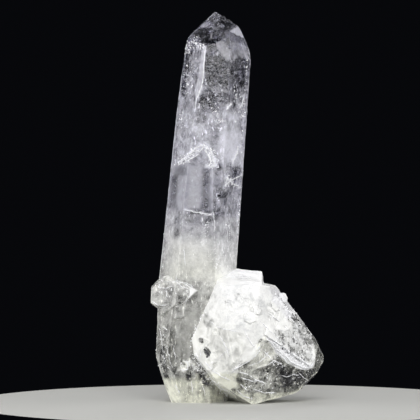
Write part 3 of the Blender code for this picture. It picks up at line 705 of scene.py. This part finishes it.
# The other crests: the places that each runs through (x, z), and its half width.
FINE_CRESTS = (
    (((0.6, 6.4), (2.6, 5.6), (4.6, 5.4), (6.4, 4.6)), 0.14),
    (((5.6, 12.4), (7.4, 10.6), (9.6, 9.4), (10.4, 8.4)), 0.12),
    (((2.4, 9), (4.4, 9.6), (6, 10.6), (7.2, 12.2)), 0.12),
    (((9.4, 6.4), (11.2, 6), (13, 6.6), (14.4, 6.2)), 0.13),
    (((14, 6.8), (15.4, 5.4), (16.2, 5)), 0.12),
    (((3.6, 3.4), (6, 2.6), (9, 2.4)), 0.13),
    (((-0.2, 3.4), (1.4, 1.8), (3.6, 1.2)), 0.12),
    (((-7.9, 10), (-6, 8.2), (-3.6, 6.6), (-1.6, 5.6)), 0.16),
    (((-9.6, 11.6), (-8.8, 9.6), (-7.2, 7.6)), 0.16),
    (((-6.6, 6.4), (-4.6, 4.2), (-2.2, 2.6)), 0.14),
    (((-4, 15.6), (-2.4, 12.8), (-1.8, 10.4)), 0.1),
    (((5, 19), (7.4, 16.6), (9.6, 14.6)), 0.14),
    (((7, 20.6), (9.6, 18.8), (12.4, 15.8), (14.6, 13.4)), 0.12),
    (((9.6, 21.4), (11.8, 19.6), (14.6, 16.4)), 0.12),
    (((-19.7, 23.2), (-18.1, 22.2), (-16.3, 22.4), (-15.8, 22.7)), 0.16),
    (((-18.4, 26.8), (-17.3, 26.2), (-16.3, 26), (-15.6, 26.5), (-14.6, 26.6)), 0.1),
    (((-16.2, 25.8), (-16.1, 24.8), (-16.5, 24)), 0.12),
    (((-17.4, 25.6), (-17.2, 24.6)), 0.12),
    (((-14.1, 29.4), (-14, 27.8), (-12.8, 26.6), (-10.5, 25.8)), 0.09),
    (((-13.3, 27.6), (-11.2, 27.3), (-9.7, 26)), 0.09),
    (((-10.5, 25), (-11.7, 24), (-12, 22.5)), 0.1),
    (((-18, 17), (-17.4, 12.6), (-16.4, 8.6)), 0.08),
    (((-16.2, 13.6), (-15.6, 10.4), (-14.8, 8)), 0.07),
    (((-14.6, 12.8), (-14.2, 10.2)), 0.1),
    (((-10.6, 5.2), (-10.2, 2.4)), 0.1),
    (((-14.2, 4.2), (-13.2, 2.2)), 0.12),
    (((-8, 4), (-7.4, 1.6)), 0.1),
    (((-12.2, 35.6), (-11.8, 31)), 0.08),
    (((-3.2, 29.9), (0.5, 29.75), (4, 29.6)), 0.06),
    (((-3.6, 29.2), (0.4, 29), (4.1, 28.8)), 0.07),
    (((-3.9, 28.6), (0, 28.4), (2.6, 28.2)), 0.06),
    (((-6.6, 19), (-4.4, 17.6), (-3, 17.2), (0.4, 16.6)), 0.09),
    (((-6.8, 9), (-4.4, 10.2), (-2.4, 12.2), (-0.6, 14)), 0.08),
    (((-9.4, 13.4), (-8.6, 12.2), (-8.4, 10.6)), 0.1),
    (((1.6, 17), (2.6, 14.8), (3.8, 13.2)), 0.1),
    (((-13.6, 54.4), (-12.2, 55.7), (-11.6, 55.2)), 0.14),
    (((-12, 55), (-11, 57.1), (-9.8, 56.5)), 0.14),
    (((-10, 57.8), (-8.8, 57.4), (-7.6, 58.6)), 0.14),
    (((-7.6, 57.8), (-6.4, 56.4), (-6, 54.4)), 0.16),
    (((-6.1, 57.3), (-5.6, 56), (-5.2, 54.4)), 0.14),
    (((-6.9, 54.6), (-5, 54.5)), 0.14),
    (((-2.6, 40.6), (-2.2, 36.2)), 0.1),
    (((-5.6, 44), (-5.2, 39)), 0.08),
)


def spaced(line, spots):
    """The places on a line of straight stretches, at these distances along it."""
    corners = np.array(line)
    reach = reach_along(line)
    return np.stack([np.interp(spots, reach, corners[:, axis]) for axis in (0, 1)], axis=1)


def reach_along(line):
    """The distance along the line to each of its corners: the sum of the lengths before it."""
    lengths = np.linalg.norm(np.diff(np.array(line), axis=0), axis=1)
    return np.concatenate(([0], np.cumsum(lengths)))


def crest_paths():
    """The lines of all crests: places every step along each, with its half width there, thin at
    the ends and uneven along it."""
    chance = np.random.default_rng(51)
    lines = [(line, SEAM_SHARE * half) for name, (line, half, *_) in SEAMS.items()
             if name not in SOFT_SEAMS]
    paths = []
    for line, half in lines + list(FINE_CRESTS):
        length = reach_along(line)[-1]
        spots = np.linspace(0, length, max(LEAST_RINGS, int(length / CREST_STEP)))
        path = spaced(line, spots)
        wobble = np.cumsum(chance.normal(scale=CREST_WALK, size=path.shape), axis=0)
        wobble -= np.linspace(wobble[0], wobble[-1], len(path))
        path += wobble + chance.normal(scale=CREST_SHAKE, size=path.shape)
        share = spots / length
        width = half * np.minimum(1, CREST_TAPER * np.minimum(share, 1 - share) + CREST_TIP)
        paths.append((path, width * chance.uniform(*CREST_UNEVEN, len(path))))
    return paths


def solid_triangles(node):
    """The node's triangles as an array of corners, in millimetres."""
    node.data.calc_loop_triangles()
    corners = vertex_values(node.data.loop_triangles, "vertices", 3).astype(int)
    return vertex_values(node.data.vertices, "co", 3)[corners] / MM


def depth_at(across, up, triangles):
    """Front and back of the solid seen from the front at each place: the least and greatest depth
    at which a line away from the viewer meets a triangle, by its barycentric weights."""
    near = np.full(len(across), np.inf)
    far = np.full(len(across), -np.inf)
    a, b, c = triangles[:, 0], triangles[:, 1], triangles[:, 2]
    area = (b[:, 0] - a[:, 0]) * (c[:, 2] - a[:, 2]) - (c[:, 0] - a[:, 0]) * (b[:, 2] - a[:, 2])
    keep = np.abs(area) > EDGE_ON
    a, b, c, area = a[keep], b[keep], c[keep], area[keep]
    for start in range(0, len(across), AT_ONCE):
        some = slice(start, start + AT_ONCE)
        x, z = across[some, None], up[some, None]
        v = ((x - a[:, 0]) * (c[:, 2] - a[:, 2]) - (c[:, 0] - a[:, 0]) * (z - a[:, 2])) / area
        w = ((b[:, 0] - a[:, 0]) * (z - a[:, 2]) - (x - a[:, 0]) * (b[:, 2] - a[:, 2])) / area
        hit = (v >= 0) & (w >= 0) & (v + w <= 1)
        y = a[:, 1] + v * (b[:, 1] - a[:, 1]) + w * (c[:, 1] - a[:, 1])
        near[some] = np.where(hit, y, np.inf).min(axis=1)
        far[some] = np.where(hit, y, -np.inf).max(axis=1)
    return near, far


def tube(path, width, depth, first):
    """The corners and faces of one crest: a ring round every place of the path, in the plane
    across the way ahead, joined to the next ring, with a cap at both ends. Corners are counted
    from the first."""
    middle = np.stack((path[:, 0], depth - CREST_OUT, path[:, 1]), axis=1)
    ahead = np.gradient(middle, axis=0)
    ahead /= np.linalg.norm(ahead, axis=1, keepdims=True)
    outward = np.cross(ahead, np.cross((0.0, -1.0, 0.0), ahead))
    outward /= np.linalg.norm(outward, axis=1, keepdims=True)
    beside = np.cross(ahead, outward)
    corner = np.arange(CREST_CORNERS)
    turn = (corner * 2 * np.pi / CREST_CORNERS)[:, None]
    ring = outward[:, None] * np.cos(turn) + beside[:, None] * np.sin(turn)
    spots = (middle[:, None] + ring * width[:, None, None]).reshape(-1, 3)
    row = first + np.arange(len(path) - 1)[:, None] * CREST_CORNERS
    here, beyond = row + corner, row + (corner + 1) % CREST_CORNERS
    quads = np.stack((here, beyond, beyond + CREST_CORNERS, here + CREST_CORNERS), axis=-1)
    last = first + (len(path) - 1) * CREST_CORNERS
    caps = [(first + corner[::-1]).tolist(), (last + corner).tolist()]
    return spots, quads.reshape(-1, 4).tolist() + caps


def crest_mesh():
    """All crests as tubes along their paths, on the front of the body."""
    paths = crest_paths()
    flat_spots = np.concatenate([path for path, width in paths])
    near, far = depth_at(flat_spots[:, 0], flat_spots[:, 1], solid)
    corners, faces = [], []
    start = 0
    for path, width in paths:
        depth = near[start:start + len(path)]
        start += len(path)
        keep = np.isfinite(depth)
        if keep.sum() < LEAST_RINGS:
            continue
        spots, sides = tube(path[keep], width[keep], depth[keep], len(corners))
        corners += (spots * MM).tolist()
        faces += sides
    data = bpy.data.meshes.new("crests")
    data.from_pydata(corners, [], faces)
    return data


solid = solid_triangles(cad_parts["quartz"])
crests = placed("crests", crest_mesh())
crest_finish = plain("crest_white", CREST_WHITE, CREST_ROUGHNESS)
crest_shader = crest_finish.node_tree.nodes["Principled BSDF"]
crest_shader.inputs["IOR"].default_value = QUARTZ_IOR
crest_shader.inputs["Transmission Weight"].default_value = CREST_CLEAR
crests.data.materials.append(crest_finish)
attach(crests, "root")


# Mist and specks: tiny healed cracks and dark grains in the quartz, closed in as it grew. Glints:
# white flakes in the front of it, painted highlights for the sparkle of light on small cracks. The
# specks also take the painted shade of the pits. Each kind has a count, a least and greatest size,
# and the shares of the depth between which it lies.
MIST_COUNT = 12000
MIST_SIZE = (0.10, 0.32)
MIST_DEPTH = (0.06, 0.94)
GLINT_COUNT = 1500
GLINT_SIZE = (0.06, 0.20)
GLINT_DEPTH = (0.02, 0.30)
SPECK_COUNT = 900
SPECK_SIZE = (0.06, 0.22)
SPECK_DEPTH = (0.02, 0.50)
# How thick the mist is: at its thinnest, and what is added from one height to another (start,
# end, added). The clear corner has none: it sets in between these places, across and down.
THINNEST = 0.15
THICKER = ((66, 52, 0.5), (46, 32, 0.8), (78, 83, -0.12))
CORNER_LEFT = (-1.5, 1.0)
CORNER_TOP = (17, 13)
# Flakes crowd where noise is high: its size and seed, and from where to where it counts. The
# mist keeps a least share and a gain times this. Each flake has so many tries.
MIST_CROWDED = (0.35, 1.3)
MIST_TRIES = 3
FLAW_TRIES = 4
MIST_CROWD = (6.0, 22, 0.35, 0.7)
GLINT_CROWD = (3.0, 32, 0.45, 0.75)
SPECK_CROWD = (3.4, 42, 0.50, 0.8)
# The least depth of quartz that holds flakes, and the height of their lowest corners.
LEAST_DEPTH = 0.5
LOWEST = 0.02
# How far a flake's corners are from its middle, as a share of its size.
REACH = (0.5, 1.3)
# Painted shade of the pits in the front's faces: a dark flake at the middle of each (x, z), and its size.
PIT_SHADES = (
    (-7.4, 12.4, 0.35), (-7.2, 12.0, 0.45), (-6.9, 11.6, 0.55), (-6.7, 11.2, 0.5), (-6.9, 10.9, 0.4),
    (-8.2, 14.3, 0.25), (-8.0, 14.0, 0.3), (-11.1, 6.0, 0.6), (-11.3, 5.4, 0.4), (-8.3, 6.3, 0.5),
    (-7.6, 5.6, 0.5), (-7.0, 4.6, 0.5), (-14.5, 8.4, 0.3), (5.0, 4.0, 0.4), (4.2, 4.8, 0.35),
)
PIT_OUT = 0.01
PIT_FACING = (0.0, -1.0, 0.1)
PIT_TILT = 0.25


def flakes(name, middles, facings, sizes, corner_count, seed):
    """Flat flakes: each is a ring of corners round its middle, at uneven distances, in the plane
    that its facing gives."""
    chance = np.random.default_rng(seed)
    total = len(middles)
    facings = facings / np.linalg.norm(facings, axis=1, keepdims=True)
    helper = np.where(np.abs(facings[:, 2:3]) < 0.9, (0.0, 0.0, 1.0), (1.0, 0.0, 0.0))
    across = np.cross(helper, facings)
    across /= np.linalg.norm(across, axis=1, keepdims=True)
    along = np.cross(facings, across)
    turn = (np.arange(corner_count) / corner_count + chance.random((total, 1))) * 2 * np.pi
    reach = sizes[:, None] * chance.uniform(*REACH, (total, corner_count))
    ring = across[:, None] * np.cos(turn)[..., None] + along[:, None] * np.sin(turn)[..., None]
    spots = middles[:, None] + ring * reach[..., None]
    spots[..., 2] = np.maximum(spots[..., 2], LOWEST)
    starts = np.arange(0, total * corner_count, corner_count, dtype=np.int32)
    data = bpy.data.meshes.new(name)
    data.vertices.add(total * corner_count)
    data.vertices.foreach_set("co", (spots * MM).astype(np.float32).ravel())
    data.loops.add(total * corner_count)
    data.loops.foreach_set("vertex_index", np.arange(total * corner_count, dtype=np.int32))
    data.polygons.add(total)
    data.polygons.foreach_set("loop_start", starts)
    data.update(calc_edges=True)
    piece = placed(name, data)
    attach(piece, "root")
    return piece


def spread(count, seed, shallow, deep):
    """Random places inside the solid, between two shares of the way from its front to its back."""
    chance = np.random.default_rng(seed)
    low_corner, high_corner = (np.array(corner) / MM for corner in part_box("quartz"))
    tries = chance.uniform(low_corner, high_corner, (count, 3))
    near, far = depth_at(tries[:, 0], tries[:, 2], solid)
    inside = far > near + LEAST_DEPTH
    share = chance.uniform(shallow, deep, count)[inside]
    tries, near, far = tries[inside], near[inside], far[inside]
    tries[:, 1] = near + (far - near) * share
    return tries, chance


def crowding(spots, size, seed, start, end):
    """How likely a flake is at each place, from 0 to 1, by noise of that size."""
    return ramp(cloud(spots, size, seed), start, end)


spots, chance = spread(MIST_COUNT * MIST_TRIES, 21, *MIST_DEPTH)
thick = np.full(len(spots), THINNEST)
for start, end, added in THICKER:
    thick += added * ramp(spots[:, 2], start, end)
thick *= 1 - ramp(spots[:, 0], *CORNER_LEFT) * ramp(spots[:, 2], *CORNER_TOP)
thick *= MIST_CROWDED[0] + MIST_CROWDED[1] * crowding(spots, *MIST_CROWD)
spots = spots[chance.random(len(spots)) < thick][:MIST_COUNT]
facings = chance.normal(size=spots.shape)
mist_piece = flakes("mist", spots, facings, chance.uniform(*MIST_SIZE, len(spots)), 3, 23)
mist_piece.data.materials.append(plain("veil_white", (0.9, 0.91, 0.95, 1), 0.35))

# Painted highlights: white flakes that sparkle like light on small cracks.
spots, chance = spread(GLINT_COUNT * FLAW_TRIES, 31, *GLINT_DEPTH)
spots = spots[chance.random(len(spots)) < crowding(spots, *GLINT_CROWD)][:GLINT_COUNT]
facings = chance.normal(size=spots.shape)
glints = flakes("glints", spots, facings, chance.uniform(*GLINT_SIZE, len(spots)), 4, 33)
glints.data.materials.append(plain("glint_white", (0.97, 0.97, 1.0, 1), 0.15))

spots, chance = spread(SPECK_COUNT * FLAW_TRIES, 41, *SPECK_DEPTH)
spots = spots[chance.random(len(spots)) < crowding(spots, *SPECK_CROWD)][:SPECK_COUNT]
sizes = chance.uniform(*SPECK_SIZE, len(spots))
facings = chance.normal(size=spots.shape)
# Painted shade: a dark flake just in front of each pit stands for the shade inside it.
pit_shades = np.array(PIT_SHADES)
near, far = depth_at(pit_shades[:, 0], pit_shades[:, 1], solid)
spots = np.concatenate((spots, np.stack((pit_shades[:, 0], near - PIT_OUT, pit_shades[:, 1]), axis=1)))
facings = np.concatenate((facings, PIT_FACING + PIT_TILT * chance.normal(size=(len(pit_shades), 3))))
specks = flakes("specks", spots, facings, np.concatenate((sizes, pit_shades[:, 2])), 5, 43)
specks.data.materials.append(plain("speck_and_pit_shade_dark", (0.03, 0.03, 0.035, 1), 0.5))


# Chips: white flakes at the quartz's faces, turned mostly to the front: painted highlights for the
# sparkle of light on tiny broken steps and bruises. They crowd along these lines (x, z): how many
# each has, and how far they stray from it.
SPARKLE_CHIPS = (
    (((-13.8, 54.8), (-11.8, 56.3), (-10.2, 57.5), (-8.4, 58.9), (-7, 58.2)), 190, 0.34),
    (((-7.2, 58.4), (-6.1, 57.5), (-5.4, 55.6), (-4.9, 54.2)), 190, 0.36),
    (((-7, 54), (-4.9, 54.2)), 35, 0.25),
    (((-13.4, 54.6), (-10.9, 55.6), (-8.8, 56.9)), 50, 0.25),
    (((-5.3, 67.4), (-4.4, 65.6), (-3.9, 64.2)), 60, 0.55),
    (((-0.5, 64.9), (-0.6, 64.3)), 14, 0.2),
    (((0.4, 65), (1.7, 66.2)), 30, 0.25),
    (((-1.3, 68.6), (-2.5, 67.1)), 36, 0.16),
    (((-12.6, 66.5), (-12.9, 63)), 30, 0.6),
    (((-11.8, 80.8), (-10.6, 82.6), (-9, 83.2)), 110, 0.55),
    (((-9.4, 82), (-8, 81.2)), 50, 0.5),
    (((-11.4, 77), (-11.9, 71)), 80, 0.6),
    (((-9.6, 79), (-10.6, 72)), 40, 0.45),
    (((-0.4, 71.6), (0.9, 66)), 70, 0.6),
    (((2.35, 79), (1.4, 66), (0.7, 56)), 90, 0.12),
    (((-2.9, 50.2), (-2.6, 49.4), (-2.2, 51)), 40, 0.35),
    (((-2.6, 51.5), (-0.8, 50.1), (0.6, 49.4)), 40, 0.25),
    (((0.9, 59.4), (-0.6, 56.8), (-1.8, 53.4), (-2.8, 50.4)), 90, 0.25),
    (((-6.8, 41.4), (-7.8, 38.4), (-7.9, 35.8)), 80, 0.35),
    (((-2.4, 41), (-1.9, 38.6)), 36, 0.4),
    (((-4.8, 31.2), (-3.2, 35.4)), 70, 0.6),
    (((0.4, 46), (-0.1, 36)), 60, 0.12),
    (((-19, 25.6), (-14, 27.4), (-10.4, 25.8)), 80, 0.7),
    (((-13, 8.6), (-11.2, 9.4), (-9.2, 7.8)), 100, 0.45),
    (((-17.4, 16.8), (-16.8, 12), (-15.4, 7)), 30, 0.5),
    (((6.2, 15.5), (4.3, 12), (-0.1, 8.9), (-3.1, 6.7)), 110, 0.3),
    (((-10.2, 12.6), (-8.8, 8.4), (-5, 4), (-1.4, 0.9)), 260, 0.5),
    (((-7.4, 20.8), (-9.6, 17), (-10.5, 13.4)), 90, 0.25),
    (((9.4, 24.6), (13.8, 19.8), (17.4, 15)), 170, 0.7),
    (((6.2, 15.8), (8.7, 12.7), (11.9, 9.5), (13.8, 8.3), (16.3, 7.8), (17.5, 9), (17.7, 11.8)),
        200, 0.25),
    (((2, 4), (8, 5), (14, 6), (18, 8.6)), 160, 1.3),
    (((7.6, 11), (11, 7.6)), 50, 0.6),
    (((7.2, 14.2), (11.6, 10.7), (15.6, 8.3)), 260, 0.42),
    (((6.2, 15.5), (10.1, 12.9), (14.2, 10.1), (16.4, 8.6)), 190, 0.11),
    (((9.6, 15.8), (13, 13), (16.2, 10.4)), 150, 1),
)
CHIP_SIZE = (0.06, 0.26)
CHIP_SUNK = (-0.03, 0.04)
CHIP_FACING = (0.0, -1.2, 0.3)


def sparkle_chip_places():
    """Where the sparkle chips, painted highlights, are: a random share of the way along each line,
    strayed from it both ways, on the front of the body."""
    chance = np.random.default_rng(71)
    parts = []
    for line, count, stray in SPARKLE_CHIPS:
        spots = chance.uniform(0, reach_along(line)[-1], count)
        parts.append(spaced(line, spots) + chance.normal(scale=stray, size=(count, 2)))
    here = np.concatenate(parts)
    near, far = depth_at(here[:, 0], here[:, 1], solid)
    keep = np.isfinite(near)
    depth = near + chance.uniform(*CHIP_SUNK, len(near))
    return np.stack((here[:, 0], depth, here[:, 1]), axis=1)[keep], chance


spots, chance = sparkle_chip_places()
# Painted highlights: white flakes turned mostly to the front.
facings = chance.normal(size=spots.shape) + CHIP_FACING
sparkle_chips = flakes("sparkle_chips", spots, facings, chance.uniform(*CHIP_SIZE, len(spots)), 4, 73)
sparkle_chips.data.materials.append(plain("sparkle_chip_white", (0.97, 0.97, 0.99, 1), 0.2))


# Shadows: clouds of dark flakes close under the quartz's faces. Most are painted shade that darkens
# its clear parts, as at the tip and the clear corner; some are tiny dark cracks that mottle it. Each
# cloud has the patch that it fills, how many it has, and how deep they lie.
SHADE_AND_CRACK_CLOUDS = (
    ("clear corner", 1000, (0.15, 0.9)),
    ("clear right", 3000, (0.05, 0.5)),
    ("clear end", 50, (0.05, 0.4)),
    ("plate face", 90, (0.0, 0.12)),
    ("mottled edge", 60, (0.0, 0.15)),
    ("side crystal", 24, (0.1, 0.6)),
    ("dark band", 700, (0.2, 2.2)),
    ("tip peak", 220, (0.3, 1.5)),
    ("dark tip", 300, (0.2, 1.2)),
    ("top dark", 420, (0.3, 3.0)),
    ("right top dark", 260, (0.3, 3.0)),
    ("dark triangle", 30, (0.2, 1.2)),
    ("right dark", 110, (0.3, 2.5)),
    ("dark lens", 25, (0.2, 1.2)),
    ("dark left", 260, (0.1, 0.8)),
    ("dark base", 40, (0.2, 0.8)),
    ("dark base right", 90, (0.2, 0.8)),
)
SHADOW_SIZE = (0.10, 0.36)
# Tries for each flake, the clouds' soft border, and the share of flakes where the noise is low.
TRIES = 8
CLOUD_SOFT = 0.8
CLOUD_CROWD = (1.6, 62, 0.35, 0.6)
CLOUD_THIN = 0.15
# The lower rim of the second crystal loses this share of them, and the clear corner's left side
# keeps only this share.
RIM_LOSES = 0.85
RIM_SOFT = 1.5
CORNER_KEEPS = 0.25
CORNER_SIDES = (5, 12)
# How much quartz has to lie behind them.
SHADOW_BACKING = 0.2


def smoke():
    """Places of the dark flakes, painted shade and cracks: random ones in each patch, kept with the
    chance that its border, the noise and the lower rim leave them."""
    chance = np.random.default_rng(61)
    parts = []
    for name, count, (shallow, deep) in SHADE_AND_CRACK_CLOUDS:
        outline = PATCHES[name][0]
        low_corner, high_corner = np.min(outline, axis=0), np.max(outline, axis=0)
        tries = chance.uniform(low_corner, high_corner, (count * TRIES, 2))
        here = np.stack((tries[:, 0], np.zeros(len(tries)), tries[:, 1]), axis=1)
        crowd = within(tries, outline, CLOUD_SOFT)
        crowd *= CLOUD_THIN + (1 - CLOUD_THIN) * crowding(here, *CLOUD_CROWD)
        crowd *= 1 - RIM_LOSES * within(tries, PATCHES["lower rim"][0], RIM_SOFT)
        if name == "clear corner":
            crowd *= CORNER_KEEPS + (1 - CORNER_KEEPS) * ramp(tries[:, 0], *CORNER_SIDES)
        here = here[chance.random(len(here)) < crowd][:count]
        near, far = depth_at(here[:, 0], here[:, 2], solid)
        here[:, 1] = near + chance.uniform(shallow, deep, len(here))
        parts.append(here[far > near + deep + SHADOW_BACKING])
    return np.concatenate(parts), chance


spots, chance = smoke()
facings = chance.normal(size=spots.shape)
# Painted shade, with some tiny dark cracks: dark flakes that darken the clear parts.
shadows = flakes("shadows", spots, facings, chance.uniform(*SHADOW_SIZE, len(spots)), 5, 63)
shadows.data.materials.append(plain("shade_and_crack_dark", (0.07, 0.07, 0.075, 1), 0.4))
